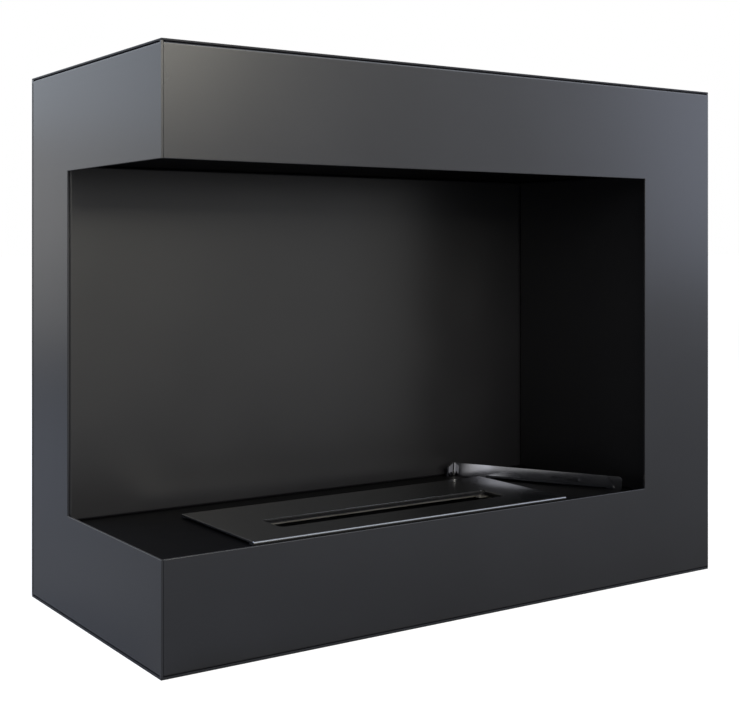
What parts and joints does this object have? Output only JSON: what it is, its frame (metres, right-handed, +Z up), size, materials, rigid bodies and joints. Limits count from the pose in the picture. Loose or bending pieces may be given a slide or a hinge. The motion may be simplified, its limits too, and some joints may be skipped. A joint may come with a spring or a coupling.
{
  "type": "bioethanol fireplace",
  "caption": "Black sheet-steel corner bioethanol fireplace, open at the front and left side, with a lift-out slotted burner, sliding shutter and loose damper hook.",
  "frame": {"origin": "middle of the underside of the casing, where it stands", "axes": "+X to the right seen from the front, +Y to the rear wall, +Z up"},
  "size_m": [0.5, 0.234, 0.4],
  "materials": {
    "black_powder_coat": "satin black powder coat",
    "black_lining": "heat-proof black paint, semi-gloss",
    "black_cover": "heat-proof black paint, smooth semi-gloss",
    "zinc_sheet": "zinc-coated sheet",
    "stainless_sheet": "rolled stainless sheet",
    "white_wool": "matt ceramic fibre",
    "polished_steel": "polished flat bar"
  },
  "bodies": {
    "casing": {"front_fascia": "black_powder_coat", "left_fascia": "black_powder_coat", "right_panel": "black_powder_coat", "top_panel": "black_powder_coat", "bottom_panel": "black_powder_coat", "rear_panel": "black_powder_coat", "keyhole_plates": "zinc_sheet", "rear_screws": "zinc_sheet", "inner_back_panel": "black_lining", "inner_right_panel": "black_lining", "hood_soffit": "black_lining", "hearth_floor": "black_lining", "heat_shield": "zinc_sheet", "hood_rib": "zinc_sheet", "hood_corner_cleat": "zinc_sheet", "base_corner_cleat": "zinc_sheet", "bearer_left": "zinc_sheet", "bearer_right": "zinc_sheet", "spill_tray": "zinc_sheet"},
    "burner": {"burner_tank": "stainless_sheet", "tank_top": "stainless_sheet", "ceramic_wool": "white_wool", "wool_mesh": "stainless_sheet", "shutter_rail_left": "stainless_sheet", "shutter_rail_right": "stainless_sheet"},
    "shutter": {"shutter": "stainless_sheet"},
    "cover": {"burner_cover": "black_cover"},
    "hook": {"damper_hook": "polished_steel"}
  },
  "joints": [
    {"name": "burner_lift", "type": "slide", "parent": "casing", "child": "burner", "axis": [0, 0, 1], "range_m": [0, 0.12]},
    {"name": "cover_lift", "type": "slide", "parent": "burner", "child": "cover", "axis": [0, 0, 1], "range_m": [0, 0.08]},
    {"name": "shutter_slide", "type": "slide", "parent": "burner", "child": "shutter", "axis": [0, -1, 0], "range_m": [0, 0.031]},
    {"name": "hook_lift", "type": "slide", "parent": "casing", "child": "hook", "axis": [0, 0, 1], "range_m": [0, 0.12]}
  ]
}
